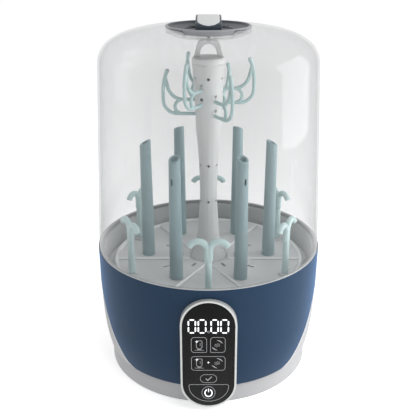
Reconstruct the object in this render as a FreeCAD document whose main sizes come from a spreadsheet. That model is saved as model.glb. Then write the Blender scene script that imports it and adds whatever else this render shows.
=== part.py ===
"""Bottle sterilizer: heated base with a drying fan, lift-out rack and clear domed lid.

Sizes are in millimetres. +Z is up, the origin is on the ground at the centre of the base,
and the control panel faces -Y.
"""
import FreeCAD, Part
import math
import os
import re
import Sketcher
from FreeCAD import Placement, Rotation, Vector

# ---------------------------------------------------------------- driving sizes
SIZES = {
    # ground to cover
    "foot_rise": 1.6, "foot_radius": 9, "foot_circle": 88,
    "ring_radius": 115.6, "ring_top_radius": 114.9, "ring_low": 1.2, "ring_top": 20.6,
    "ring_inner": 110.2, "ring_neck": 112.8, "ring_neck_top": 31,
    "floor_low": 1.6, "floor_top": 4.4, "floor_radius": 109.9,
    # outer shell: two arcs that meet in line
    "cover_low": 22, "cover_mid": 66, "cover_top": 140.6,
    "cover_low_radius": 117.5, "cover_mid_radius": 123.9, "cover_top_radius": 125.8,
    "cover_low_arc": 227, "cover_high_arc": 1700, "cover_wall": 2.4,
    "trim_width": 2, "trim_proud": 0.4,
    # control panel
    "panel_front": 130.3, "panel_half": 29, "panel_low": 5.2, "panel_top": 132.8,
    "glass_half": 27, "glass_deep": 1.8, "panel_ledge": 1.8,
    # chamber
    "tub_rim_radius": 125.2, "tub_rim_top": 142.2, "tub_seat": 138.6, "tub_shelf": 111.8,
    "tub_floor": 97, "plate_hole": 47.5, "plate_top": 90.2,
    "element_ring": 32, "element_rod": 3.2,
    "riser_radius": 12.5, "riser_bore": 10.5, "riser_top": 126,
    # drying air
    "fan_centre": 66, "housing_radius": 38, "housing_low": 24, "housing_top": 51.4,
    "housing_wall": 2, "rotor_radius": 33, "shaft_radius": 1.5, "shaft_gap": 0.06,
    # rack
    "tray_panel": 121.4, "tray_sink": 119.8, "tray_top": 122.6, "tray_under": 117.4,
    "spoke_width": 20, "tray_step_radius": 67, "tray_ridge_radius": 105,
    "post_circle": 69.6, "post_foot_radius": 7.4, "post_top_radius": 6, "post_wall": 2.5,
    "post_high": 261, "post_low": 254.5,
    "hook_circle": 97.2, "hook_rod": 3.15, "hook_arc": 9.5, "hook_turn": 173.2, "hook_lean": 1.5,
    "mast_top": 343.4, "cap_radius": 17.6, "loop_top": 368.6, "loop_thick": 7.6,
    "arm_rod": 1.8, "arm_low": 289.7, "arm_step": 12, "arm_bend": 15, "brace_ring": 7.4,
    # lid
    "dome_low": 142.6, "dome_low_radius": 125, "dome_wall": 2.2, "dome_lip": 139.2,
    "shoulder": 346.1, "shoulder_radius": 115.6, "shoulder_arc": 27.4,
    "brow": 367.4, "brow_radius": 104, "brow_arc": 55,
    "crown": 375.2, "crown_radius": 88, "crown_arc": 154.4,
    "dome_top": 381.6, "dome_flat": 44, "dome_hole": 41.6,
    "dish_radius": 44.8, "dish_top": 383, "lip_half": 25, "lip_radius": 46.2, "lip_low": 377.3,
    "bar_half": 13.1, "bar_reach": 38.3, "bar_top": 392.4, "bar_arch": 142, "bar_corner": 6,
    "inlay_half": 11.2, "inlay_reach": 37.3,
    # rear service side
    "filter_half": 34, "filter_low": 52, "filter_top": 86,
    "inlet_half": 13, "inlet_low": 26, "inlet_top": 42, "inlet_face": 120.5,
}
POST_ANGLES = (-120, -60, 0, 60, 120, 180)       # degrees from +X, one bottle post each
HOOK_ANGLES = (-90, -30, 30, 90, 150, 210)
HIGH_ARMS = (0, 120, -120)                       # arms on the upper of two levels

os.makedirs("parts", exist_ok=True)
doc = FreeCAD.newDocument("bottle_sterilizer")
sheet = doc.addObject("Spreadsheet::Sheet", "Sizes")
for row, (alias, number) in enumerate(SIZES.items(), 1):
    sheet.set(f"A{row}", alias)
    sheet.set(f"B{row}", str(number))
    sheet.setAlias(f"B{row}", alias)
doc.recompute()
pieces = {}


# ---------------------------------------------------------------- building helpers
def bound(formula):
    """The formula as an expression, with each size's name read from the sheet."""
    return re.sub(r"[a-z][a-z_]+", lambda word: "Sizes." + word[0] if word[0] in SIZES else word[0],
                  str(formula))


def value(formula):
    """The formula's present value in millimetres."""
    return float(sheet.evalExpression(bound(formula)))


def keep(name, item):
    """Names a finished sub-part, which is also the name of its file."""
    item.Label = name
    pieces[name] = item
    return item


def plane_of(body, role):
    return next(part for part in body.Origin.OriginFeatures if part.Role == role)


def new_sketch(body, role, lift="0"):
    """A sketch on one of the body's own planes, moved along the plane's normal."""
    sketch = body.newObject("Sketcher::SketchObject", "Outline")
    sketch.AttachmentSupport = (plane_of(body, role), "")
    sketch.MapMode = "FlatFace"
    sketch.setExpression(".AttachmentOffset.Base.z", bound(lift))
    return sketch


def fix_point(sketch, edge, end, across, along):
    """Ties one end of an edge to its place."""
    for kind, axis, formula in (("DistanceX", -2, across), ("DistanceY", -1, along)):
        number = value(formula)
        if abs(number) < 1e-9:
            sketch.addConstraint(Sketcher.Constraint("PointOnObject", edge, end, axis))
        else:
            index = sketch.addConstraint(Sketcher.Constraint(kind, edge, end, number))
            sketch.setExpression(f"Constraints[{index}]", bound(formula))


def draw(sketch, outline, closed=True):
    """Draws lines and arcs through the outline's points.

    A point is (across, along) for a line that ends there, or (across, along, radius, side)
    for an arc that ends there, with its centre to the left (1) or right (-1) of the way.
    """
    spots = [Vector(value(point[0]), value(point[1]), 0) for point in outline]
    first = 0 if closed else 1
    previous = None
    for index in range(first, len(outline)):
        start, end, point = spots[index - 1], spots[index], outline[index]
        start_end, end_end = 1, 2
        if len(point) == 2:
            edge = sketch.addGeometry(Part.LineSegment(start, end))
        else:
            radius, side = value(point[2]), point[3]
            chord = end - start
            rise = math.sqrt(max(0.0, radius ** 2 - (chord.Length / 2) ** 2))
            centre = (start + end) * 0.5 + Vector(-chord.y, chord.x, 0).normalize() * rise * side
            if side < 0:
                start, end = end, start
                start_end, end_end = 2, 1
            turns = [math.atan2(spot.y - centre.y, spot.x - centre.x) for spot in (start, end)]
            circle = Part.Circle(centre, Vector(0, 0, 1), radius)
            edge = sketch.addGeometry(Part.ArcOfCircle(circle, turns[0], turns[1]))
            number = sketch.addConstraint(Sketcher.Constraint("Radius", edge, radius))
            sketch.setExpression(f"Constraints[{number}]", bound(point[2]))
        if previous is not None:
            sketch.addConstraint(Sketcher.Constraint("Coincident", *previous, edge, start_end))
        else:
            opening = (edge, start_end)
        fix_point(sketch, edge, end_end, point[0], point[1])
        previous = (edge, end_end)
    if closed:
        sketch.addConstraint(Sketcher.Constraint("Coincident", *previous, *opening))
    else:
        fix_point(sketch, *opening, outline[0][0], outline[0][1])


def revolved(name, outline, angle=360):
    """A solid of revolution about Z from an outline of (radius, height)."""
    body = doc.addObject("PartDesign::Body", name)
    sketch = new_sketch(body, "XZ_Plane")
    draw(sketch, outline)
    turn = body.newObject("PartDesign::Revolution", "Turned")
    turn.Profile = sketch
    turn.ReferenceAxis = (sketch, ["V_Axis"])
    turn.Angle = angle
    return body


def prism(name, role, outline, low, high):
    """A straight solid between two distances along a plane's normal."""
    body = doc.addObject("PartDesign::Body", name)
    sketch = new_sketch(body, role, low)
    draw(sketch, outline)
    pad = body.newObject("PartDesign::Pad", "Thickness")
    pad.Profile = sketch
    pad.setExpression("Length", bound(f"({high}) - ({low})"))
    return body


def rod(body, path, radius, start_role):
    """A round rod along a path in the body's XZ plane, starting square to start_role."""
    spine = new_sketch(body, "XZ_Plane")
    draw(spine, path, closed=False)
    across, along = path[0][:2]
    if start_role == "YZ_Plane":
        section = new_sketch(body, "YZ_Plane", across)
        middle = ("0", along)
    else:
        section = new_sketch(body, "XY_Plane", along)
        middle = (across, "0")
    centre = Vector(value(middle[0]), value(middle[1]), 0)
    edge = section.addGeometry(Part.Circle(centre, Vector(0, 0, 1), value(radius)))
    number = section.addConstraint(Sketcher.Constraint("Radius", edge, value(radius)))
    section.setExpression(f"Constraints[{number}]", bound(radius))
    fix_point(section, edge, 3, *middle)
    doc.recompute()
    pipe = body.newObject("PartDesign::AdditivePipe", "Rod")
    pipe.Profile = section
    pipe.Spine = spine
    return pipe


def solid(kind, name, spot=("0", "0", "0"), turn=None, **sizes):
    """A Part primitive whose sizes and place are read from the sheet."""
    item = doc.addObject("Part::" + kind, name)
    for size_name, formula in sizes.items():
        item.setExpression(size_name, bound(formula))
    if turn is not None:
        item.Placement = Placement(Vector(), turn)
    for axis, formula in zip("xyz", spot):
        item.setExpression(f".Placement.Base.{axis}", bound(formula))
    return item


def block(name, low, high):
    """A box between two corners."""
    sizes = {side: f"({top}) - ({bottom})" for side, bottom, top
             in zip(("Length", "Width", "Height"), low, high)}
    return solid("Box", name, spot=low, **sizes)


def drum(name, radius, low, high, across="0", along="0"):
    """An upright cylinder between two heights."""
    return solid("Cylinder", name, spot=(across, along, low), Radius=radius,
                 Height=f"({high}) - ({low})")


def bore(name, radius, angle, start, length, lift):
    """A level cylinder that points outwards at an angle round the axis."""
    turn = Rotation(Vector(0, 0, 1), angle) * Rotation(Vector(0, 1, 0), 90)
    reach = (f"({start}) * {math.cos(math.radians(angle)):.9f}",
             f"({start}) * {math.sin(math.radians(angle)):.9f}", lift)
    return solid("Cylinder", name, spot=reach, turn=turn, Radius=radius, Height=length)


def pill(name, half, low, top, front, back):
    """An upright slab with round ends that faces -Y."""
    level = Rotation(Vector(1, 0, 0), 90)
    depth = f"({front}) - ({back})"
    ends = [solid("Cylinder", name + "_end", spot=("0", f"-({back})", end), turn=level,
                  Radius=half, Height=depth)
            for end in (f"({low}) + ({half})", f"({top}) - ({half})")]
    middle = block(name + "_middle", (f"-({half})", f"-({front})", f"({low}) + ({half})"),
                   (half, f"-({back})", f"({top}) - ({half})"))
    return fused(name, ends + [middle])


def fused(name, items, refine=True):
    joined = doc.addObject("Part::MultiFuse", name)
    joined.Shapes = items
    joined.Refine = refine
    return joined


def shared(name, items):
    overlap = doc.addObject("Part::MultiCommon", name)
    overlap.Shapes = items
    return overlap


def cut(name, item, tools):
    """The item with every tool taken away."""
    tool = tools[0] if len(tools) == 1 else fused(name + "_tools", tools)
    result = doc.addObject("Part::Cut", name)
    result.Base = item
    result.Tool = tool
    result.Refine = True
    return result


def group(name, items):
    """Separate solids that share one sub-part, such as identical fasteners."""
    joined = doc.addObject("Part::Compound", name)
    joined.Links = items
    return joined


def place(item, angle, radius="0"):
    """Turns an item about Z and sets it out along its own +X."""
    item.Placement = Placement(Vector(), Rotation(Vector(0, 0, 1), angle))
    item.setExpression(".Placement.Base.x", bound(f"({radius}) * {math.cos(math.radians(angle)):.9f}"))
    item.setExpression(".Placement.Base.y", bound(f"({radius}) * {math.sin(math.radians(angle)):.9f}"))
    return item


def on_circle(radius, angle):
    """Where a circle's point lies, as two formulas."""
    return (f"({radius}) * {math.cos(math.radians(angle)):.9f}",
            f"({radius}) * {math.sin(math.radians(angle)):.9f}")


# ---------------------------------------------------------------- outer shell
def shell_outline(grow, inner=None):
    """The base's side wall, or its full solid when inner is "0"."""
    outside = [(f"cover_low_radius + {grow}", "cover_low"),
               (f"cover_mid_radius + {grow}", "cover_mid", "cover_low_arc", 1),
               (f"cover_top_radius + {grow}", "cover_top", "cover_high_arc", 1)]
    if inner is not None:
        return outside + [(inner, "cover_top"), (inner, "cover_low")]
    back = f"{grow} - cover_wall"
    return outside + [(f"cover_top_radius + {back}", "cover_top"),
                      (f"cover_mid_radius + {back}", "cover_mid", "cover_high_arc", -1),
                      (f"cover_low_radius + {back}", "cover_low", "cover_low_arc", -1)]


def split_outline(shift, far):
    """Side view of the space on one side of the cover's swept edge, (depth, height)."""
    edge = [(f"-91 + {shift}", "0"), (f"-91 + {shift}", "cover_low - 2"),
            (f"-72 + {shift}", "34", "27", 1), (f"20 + {shift}", "142", "367", -1),
            (f"20 + {shift}", "160")]
    return edge + [(far, "160"), (far, "0")]


def swept_tool(name, shift, far):
    return prism(name, "YZ_Plane", split_outline(shift, far), "-150", "150")


def panel_way(name):
    """The gap that the control panel's frame stands in."""
    return pill(name, "panel_half + 0.2", "panel_low - 0.2", "panel_top + 0.2", "panel_front + 5", "100")


def inlet_way(name):
    """The gap that the mains inlet stands in."""
    return block(name, ("-inlet_half - 0.2", "90", "inlet_low - 0.2"),
                 ("inlet_half + 0.2", "140", "inlet_top + 0.2"))


def make_shell():
    half = "trim_width / 2"
    front = revolved("front_wall", shell_outline("0"))
    keep("front_cover", cut("front_cover_cut", front,
                            [swept_tool("behind_front", f"0 - {half}", "150"), panel_way("front_way")]))
    rear = revolved("rear_wall", shell_outline("0.1"))
    filter_way = block("filter_way", ("-filter_half - 0.6", "90", "filter_low - 0.6"),
                       ("filter_half + 0.6", "140", "filter_top + 0.6"))
    keep("rear_shell", cut("rear_shell_cut", rear,
                           [swept_tool("before_rear", half, "-150"), filter_way, inlet_way("rear_inlet_way")]))
    band = revolved("trim_wall", shell_outline("trim_proud"))
    keep("edge_trims", cut("edge_trims_cut", band,
                           [swept_tool("behind_trim", half, "150"),
                            swept_tool("before_trim", f"0 - {half}", "-150")]))


def make_ground():
    """Ring, floor, feet and screws."""
    ring = revolved("ring_wall", [
        ("floor_radius", "ring_low"), ("ring_radius - 0.8", "ring_low"),
        ("ring_radius", "ring_low + 0.8", "0.85", 1), ("ring_top_radius", "ring_top - 0.6"),
        ("ring_top_radius - 0.6", "ring_top", "0.62", 1), ("ring_neck", "ring_top"),
        ("ring_neck", "ring_neck_top"), ("ring_inner", "ring_neck_top"),
        ("ring_inner", "floor_top + 0.2"), ("floor_radius", "floor_top + 0.2")])
    screw_angles = (25, 155, 205, 335)
    spots = [on_circle("103.5", angle) for angle in screw_angles]
    bosses = [drum("boss", "5.4", "floor_top + 0.2", "20", *spot) for spot in spots]
    webs = [place(block("web", ("0", "-1.5", "floor_top + 0.2"), ("4", "1.5", "20")), angle, "107")
            for angle in screw_angles]
    holes = [drum("boss_hole", "1.45", "floor_top", "17", *spot) for spot in spots]
    keep("base_ring", cut("base_ring_cut", fused("ring_bosses", [ring] + bosses + webs),
                          holes + [panel_way("ring_way"), inlet_way("ring_inlet_way")]))

    floor = revolved("floor_disc", [("0", "floor_low"), ("floor_radius - 0.2", "floor_low"),
                                    ("floor_radius - 0.2", "floor_top"), ("0", "floor_top")])
    vents = [place(block("vent", ("0", "-1.4", "0"), ("16", "1.4", "6")), angle, "56")
             for angle in range(0, 360, 15)]
    feet_spots = [on_circle("foot_circle", angle) for angle in (45, 135, 225, 315)]
    plug_holes = [drum("plug_hole", "3.6", "0", "6", *spot) for spot in feet_spots]
    screw_holes = [drum("screw_hole", "1.7", "0", "6", *spot) for spot in spots]
    sinks = [drum("screw_sink", "3.4", "0", "floor_low + 1.6", *spot) for spot in spots]
    keep("bottom_cover", cut("bottom_cover_cut", floor, vents + plug_holes + screw_holes + sinks))

    feet = [fused("foot", [drum("foot_pad", "foot_radius", "0", "foot_rise", *spot),
                           drum("foot_plug", "3.5", "foot_rise", "floor_top", *spot),
                           drum("foot_barb", "4.3", "floor_top", "floor_top + 1.6", *spot)])
            for spot in feet_spots]
    keep("rubber_feet", group("feet_group", feet))
    screws = [fused("screw", [drum("screw_head", "3.2", "floor_low + 0.3", "floor_low + 1.6", *spot),
                              drum("screw_shank", "1.4", "floor_low + 1.6", "16", *spot)])
              for spot in spots]
    keep("base_screws", group("screws_group", screws))


# ---------------------------------------------------------------- control panel
def make_panel():
    slab = pill("frame_slab", "panel_half", "panel_low", "panel_top", "panel_front", "105")
    window = pill("frame_window", "glass_half", "panel_low + 2", "panel_top - 2",
                  "panel_front + 1", "panel_front - 0.3 - glass_deep")
    hollow = pill("frame_hollow", "glass_half - panel_ledge", "panel_low + 3.8", "panel_top - 3.8",
                  "panel_front + 1", "100")
    chamber_side = drum("chamber_side", "121.2", "90", "150")
    ground_side = drum("ground_side", "111", "0", "90")
    keep("panel_frame", cut("panel_frame_cut", slab, [window, hollow, chamber_side, ground_side]))
    keep("panel_glass", pill("glass_slab", "glass_half - 0.1", "panel_low + 2.1", "panel_top - 2.1",
                             "panel_front - 0.3", "panel_front - 0.3 - glass_deep"))
    keep("display_module", block("display_block", ("-20.5", "-128", "99"), ("20.5", "-124.6", "116")))
    board = pill("touch_slab", "24.6", "panel_low + 6", "panel_top - 6", "124.4", "122.8")
    keep("touch_board", board)


# ---------------------------------------------------------------- chamber and heater
def make_chamber():
    keep("inner_tub", revolved("tub_wall", [
        ("tub_rim_radius", "cover_top + 0.1"), ("tub_rim_radius", "tub_rim_top - 0.5"),
        ("tub_rim_radius - 0.5", "tub_rim_top", "0.52", 1), ("121.8", "tub_rim_top"),
        ("121.6", "tub_seat"), ("118.2", "tub_seat"), ("117.4", "tub_shelf"), ("113.6", "tub_shelf"),
        ("112.4", "tub_floor"), ("62", "94"), ("plate_hole", "90.6"), ("plate_hole", "88.2"),
        ("62.4", "91.6"), ("114.8", "94.6"), ("115.9", "109.4"), ("119.6", "109.4"),
        ("120.2", "136.2"), ("123.2", "136.8"), ("123.2", "cover_top + 0.1")]))
    keep("heating_plate", revolved("plate_disc", [
        ("13.9", "plate_top - 1.2"), ("13.9", "plate_top"), ("45.6", "plate_top"), ("46.6", "87.4"),
        ("52", "87.4"), ("52", "86.2"), ("45.7", "86.2"), ("44.7", "plate_top - 1.2")]))
    keep("plate_seal", revolved("seal_ring", [
        ("47.8", "87.4"), ("52", "87.4"), ("52", "89.1"), ("47.8", "88.15")]))
    ring = solid("Torus", "element_coil", spot=("0", "0", "plate_top - 4.6"),
                 turn=Rotation(Vector(0, 0, 1), 120),
                 Radius1="element_ring", Radius2="element_rod", Angle3="300")
    ends = [drum("element_end", "element_rod", "70", "plate_top - 4.6", *on_circle("element_ring", angle))
            for angle in (120, 60)]
    keep("heating_element", fused("element", [ring] + ends))
    keep("thermostat", fused("thermostat_body", [
        drum("thermostat_can", "6.4", "80", "plate_top - 1.4", "0", "-21"),
        block("thermostat_tab", ("-8.5", "-22.5", "77"), ("8.5", "-19.5", "80.5"))]))
    keep("air_riser", revolved("riser_tube", [
        ("riser_bore", "housing_top"), ("riser_radius", "housing_top"), ("riser_radius", "84"),
        ("riser_radius + 1.2", "84"), ("riser_radius + 1.2", "92.5"), ("riser_radius", "93.7"),
        ("riser_radius", "riser_top"), ("riser_bore", "riser_top")]))


# ---------------------------------------------------------------- drying fan and electrics
def make_air_path():
    place_y = "fan_centre"
    shell = drum("housing_drum", "housing_radius", "housing_low", "housing_top", "0", place_y)
    room = drum("housing_room", "housing_radius - housing_wall", "housing_low + housing_wall",
                "housing_top - housing_wall", "0", place_y)
    intake = drum("housing_intake", "22", "40", "housing_top + 1", "0", place_y)
    shaft_way = drum("housing_shaft_way", "3", "20", "30", "0", place_y)
    outlet = block("housing_outlet", ("-17", "20", "housing_low + housing_wall"),
                   ("17", "45", "housing_top - housing_wall"))
    keep("fan_housing", cut("fan_housing_cut", shell, [room, intake, shaft_way, outlet]))

    duct = block("duct_box", ("-19", "-16", "housing_low"), ("19", "40", "housing_top"))
    duct_room = block("duct_room", ("-17", "-14", "housing_low + housing_wall"),
                      ("17", "45", "housing_top - housing_wall"))
    duct_exit = drum("duct_exit", "riser_bore", "40", "60")
    fan_side = drum("duct_fan_side", "housing_radius", "0", "60", "0", place_y)
    keep("air_duct", cut("air_duct_cut", duct, [duct_room, duct_exit, fan_side]))

    fins = [block("heater_gap", (f"{start}", "5", "28"), (f"{start + 3}", "23", "47"))
            for start in (-13.5, -8.5, -3.5, 1.5, 6.5)]
    heater = block("heater_box", ("-16.5", "7", "26.5"), ("16.5", "20", "49"))
    keep("dryer_heater", cut("dryer_heater_cut", heater, fins))

    motor = drum("motor_can", "17", "floor_top + 0.4", "housing_low - 0.1", "0", place_y)
    motor_bore = drum("motor_bore", "shaft_radius + shaft_gap", "10", "30", "0", place_y)
    keep("fan_motor", cut("fan_motor_cut", motor, [motor_bore]))


def make_rotor():
    """Blower wheel, drawn at the origin and set on the fan's axis."""
    hub = drum("rotor_hub", "9", "27.2", "40")
    web = drum("rotor_web", "rotor_radius", "27.2", "28.8")
    shaft = drum("rotor_shaft", "shaft_radius", "12", "27.2")
    hoop = cut("rotor_hoop", drum("hoop_out", "rotor_radius", "45.6", "47.2"),
               [drum("hoop_in", "25", "44", "49")])
    blades = [place(block("blade", ("0", "-0.6", "28"), ("6.8", "0.6", "46.4")), angle, "25.6")
              for angle in range(0, 360, 15)]
    wheel = keep("fan_rotor", fused("rotor_wheel", [hub, web, shaft, hoop] + blades, refine=False))
    wheel.setExpression(".Placement.Base.y", bound("fan_centre"))


def make_electrics():
    board = block("board_plate", ("-92", "-34", "12"), ("-44", "36", "13.6"))
    parts = [block("relay", ("-88", "14", "13.6"), ("-72", "32", "30")),
             block("supply", ("-66", "4", "13.6"), ("-48", "32", "34")),
             block("sink", ("-90", "-30", "13.6"), ("-86", "8", "36")),
             drum("capacitor", "6", "13.6", "33", "-74", "-6"),
             drum("capacitor_small", "4", "13.6", "27", "-60", "-14"),
             block("plug_row", ("-70", "-32", "13.6"), ("-48", "-25", "22"))]
    stands = [drum("stand", "3", "floor_top", "12", across, along)
              for across in ("-88", "-48") for along in ("-30", "32")]
    keep("control_board", fused("board", [board] + parts + stands))

    shell = block("inlet_block", ("-inlet_half", "105", "inlet_low"),
                  ("inlet_half", "inlet_face", "inlet_top"))
    socket = [block("socket_middle", ("-4.5", "107.5", "29.8"), ("4.5", "130", "38.2"))]
    level = Rotation(Vector(1, 0, 0), -90)
    for across in ("-4.5", "4.5"):
        socket.append(solid("Cylinder", "socket_end", spot=(across, "107.5", "34"), turn=level,
                            Radius="4.2", Height="30"))
    pins = [solid("Cylinder", "socket_pin", spot=(across, "107.4", "34"), turn=level,
                  Radius="1.2", Height="11") for across in ("-4.3", "4.3")]
    hollow = cut("inlet_hollow", shell, [fused("socket_room", socket)])
    keep("mains_inlet", fused("inlet", [hollow] + pins))


def make_filter():
    """Holder in the rear wall, with a louvred cover that pulls straight off."""
    wall = cut("frame_trimmed", block("frame_box", ("-filter_half - 0.4", "104.5", "filter_low - 0.4"),
                                      ("filter_half + 0.4", "118", "filter_top + 0.4")),
               [block("frame_room", ("-filter_half + 1.4", "106.5", "filter_low + 1.4"),
                      ("filter_half - 1.4", "140", "filter_top - 1.4"))])
    windows = [block("frame_window", (low, "100", "filter_low + 4"), (high, "110", "filter_top - 4"))
               for low, high in (("-29", "-11"), ("-9", "9"), ("11", "29"))]
    core = revolved("frame_limit", shell_outline("-3", "0"))
    keep("filter_frame", shared("filter_frame_common", [cut("frame_open", wall, windows), core]))

    box = block("cover_box", ("-38", "100", "48"), ("38", "140", "90"))
    skin = shared("cover_skin", [box, drum("cover_drum", "panel_front", "40", "100")])
    room = shared("cover_room", [block("cover_room_box", ("-35.8", "90", "50.2"), ("35.8", "140", "87.8")),
                                 drum("cover_room_drum", "panel_front - 2.2", "40", "100")])
    louvres = [block("louvre", (f"{middle - 1.6}", "110", "55"), (f"{middle + 1.6}", "140", "80"))
               for middle in (-28, -21, -14, -7, 0, 7, 14, 21, 28)]
    standing = revolved("cover_limit", shell_outline("0.5", "0"))
    keep("filter_cover", cut("filter_cover_cut", skin, [room, standing] + louvres))

    pad = block("filter_pad", ("-filter_half + 1.8", "107", "filter_low + 1.8"),
                ("filter_half - 1.8", "116", "filter_top - 1.8"))
    ribs = [block("filter_rib", (f"{across}", "116", "60"), (f"{across + 2.4}", "127.5", "78"))
            for across in (-25.7, 23.3)]
    limit = drum("rib_limit", "panel_front - 2.3", "40", "100")
    keep("air_filter", fused("filter_block", [pad, shared("rib_ends", [fused("ribs", ribs), limit])]))


# ---------------------------------------------------------------- rack
def make_tray():
    dish = revolved("tray_disc", [
        ("17", "tray_under"), ("tray_step_radius", "tray_under"),
        ("tray_ridge_radius - 0.6", "tray_under"), ("111.9", "112.1"),
        ("116.9", "112.1"), ("116.9", "114.4"), ("113.6", "114.4"), ("108", "tray_top"),
        ("tray_ridge_radius", "tray_top"), ("tray_ridge_radius - 1", "tray_sink"),
        ("tray_step_radius + 1", "tray_sink"), ("tray_step_radius", "tray_panel"),
        ("17", "tray_panel")])
    half = "spoke_width / 2"
    spokes = [place(block("spoke", ("0", f"-{half}", "tray_under"),
                          ("tray_ridge_radius - 21", half, "tray_top")), angle, "22")
              for angle in POST_ANGLES]
    hook_pads = [drum("hook_pad", "6.5", "tray_under", "tray_top", *on_circle("hook_circle", angle))
                 for angle in HOOK_ANGLES]
    holes = [drum("post_air", "4", "100", "140", *on_circle("post_circle", angle))
             for angle in POST_ANGLES]
    holes += [place(block("spoke_slot", ("0", "-1.6", "100"), ("9", "1.6", "140")), angle, "29")
              for angle in POST_ANGLES]
    holes += [place(block("inner_drain", ("0", "-1.5", "100"), ("16", "1.5", "140")), angle, "42")
              for angle in HOOK_ANGLES]
    keep("rack_tray", cut("rack_tray_cut", fused("tray_solid", [dish] + spokes + hook_pads), holes))


def make_posts():
    height = "post_high - tray_top"
    for number, angle in enumerate(POST_ANGLES, 1):
        stem = solid("Cone", "post_stem", spot=("0", "0", "tray_top"), Height=height,
                     Radius1="post_foot_radius", Radius2="post_top_radius")
        room = solid("Cone", "post_room", spot=("0", "0", "tray_top"), Height=height,
                     Radius1="post_foot_radius - post_wall", Radius2="post_top_radius - post_wall")
        slant = prism("post_slant", "XZ_Plane", [
            ("-post_top_radius - 0.2", "post_high"), ("post_top_radius + 0.2", "post_low"),
            ("post_top_radius + 4", "post_low"), ("post_top_radius + 4", "post_high + 4"),
            ("-post_top_radius - 0.2", "post_high + 4")], "-10", "10")
        vent = block("post_vent", ("0", "-1.3", "230"), ("10", "1.3", "238"))
        post = cut(f"bottle_post_{number}_cut", stem, [room, slant, vent])
        keep(f"bottle_post_{number}", place(post, angle, "post_circle"))


def make_hooks():
    end_angle = math.radians(23)
    centre = "hook_lean + hook_arc"
    tip = (f"{centre} + hook_arc * {math.cos(end_angle):.9f}",
           f"hook_turn + hook_arc * {math.sin(end_angle):.9f}")
    for number, angle in enumerate(HOOK_ANGLES, 1):
        halves = []
        for side in (1, -1):
            body = doc.addObject("PartDesign::Body", "hook_arm")
            lean = f"{side} * hook_lean"
            rod(body, [(lean, "hook_turn - 12"), (lean, "hook_turn"),
                       (f"{side} * ({centre})", "hook_turn + hook_arc", "hook_arc", -side),
                       (f"{side} * ({tip[0]})", tip[1], "hook_arc", -side)], "hook_rod", "XY_Plane")
            halves.append(body)
        stem = solid("Cone", "hook_stem", spot=("0", "0", "tray_top"), Height="40",
                     Radius1="4", Radius2="3.4")
        stem_top = drum("hook_stem_top", "3.4", "tray_top + 40", "hook_turn - 6")
        hook = fused(f"hook_{number}_solid", [stem, stem_top] + halves)
        hook.Placement = Placement(Vector(), Rotation(Vector(0, 0, 1), angle + 90))
        across, along = on_circle("hook_circle", angle)
        hook.setExpression(".Placement.Base.x", bound(across))
        hook.setExpression(".Placement.Base.y", bound(along))
        keep(f"hook_{number}", hook)


def make_mast():
    tube = revolved("mast_tube", [
        ("13.6", "tray_panel"), ("20", "tray_panel"), ("11.5", "165", "108", -1),
        ("9.7", "206", "350", -1), ("13.6", "272", "607", -1), ("17.3", "mast_top", "1740", -1),
        ("14.2", "mast_top"), ("11.4", "280"), ("7.9", "225"), ("7.9", "165"), ("13.6", "129")])
    holes = []
    for height in ("190.7", "233", "329.4"):
        holes += [bore("mast_nozzle", "1", angle, "4", "20", height) for angle in HOOK_ANGLES]
    for angle in POST_ANGLES:
        lift = "arm_step" if angle in HIGH_ARMS else "0"
        holes.append(bore("arm_nozzle", "2.3", angle, "4", "20", f"arm_low + 5.6 + {lift}"))
        holes.append(bore("arm_vent", "1.2", angle, "4", "20", f"arm_low + 20.6 + {lift}"))
    keep("mast", cut("mast_cut", tube, holes))

    disc = revolved("cap_disc", [("0", "mast_top + 0.2"), ("cap_radius - 0.3", "mast_top + 0.2"),
                                 ("cap_radius", "mast_top + 3.2"), ("cap_radius - 1", "350.2"),
                                 ("0", "351.2")])
    half = "loop_thick / 2"
    arch = prism("cap_arch", "XZ_Plane", [
        ("-16.4", "348.4"), ("-12.6", "362"), ("-6.5", "loop_top", "8.5", -1), ("6.5", "loop_top"),
        ("12.6", "362", "8.5", -1), ("16.4", "348.4"), ("10.2", "348.4"), ("8", "356.8"),
        ("-8", "356.8", "8.05", 1), ("-10.2", "348.4")], f"0 - {half}", half)
    keep("mast_cap", fused("mast_cap_solid", [disc, arch]))


def make_teat_arms():
    for number, angle in enumerate(POST_ANGLES, 1):
        lift = "arm_step" if angle in HIGH_ARMS else "0"
        level = f"arm_low + {lift}"
        body = doc.addObject("PartDesign::Body", "arm_low_rod")
        rod(body, [(f"14.35 + 0.055 * {lift}", level), ("33.4", level),
                   ("33.4 + arm_bend", f"{level} + arm_bend", "arm_bend", 1),
                   ("33.4 + arm_bend", f"{level} + 24"),
                   ("43.7", f"{level} + 46", "53.84", 1)], "arm_rod", "YZ_Plane")
        upper = doc.addObject("PartDesign::Body", "arm_high_rod")
        rod(upper, [(f"15.05 + 0.055 * {lift}", f"{level} + 15.4"), ("27", f"{level} + 15.4"),
                    ("43.2", f"{level} + 28", "16.714", 1), ("45.79", f"{level} + 38.2")],
            "arm_rod", "YZ_Plane")
        brace = solid("Torus", "arm_brace", spot=("28.5", "0", f"{level} + 7.7"),
                      turn=Rotation(Vector(1, 0, 0), 90) * Rotation(Vector(0, 0, 1), -78),
                      Radius1="brace_ring", Radius2="arm_rod - 0.1", Angle3="156")
        arm = fused(f"teat_arm_{number}_solid", [body, upper, brace], refine=False)
        keep(f"teat_arm_{number}", place(arm, angle))


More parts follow.
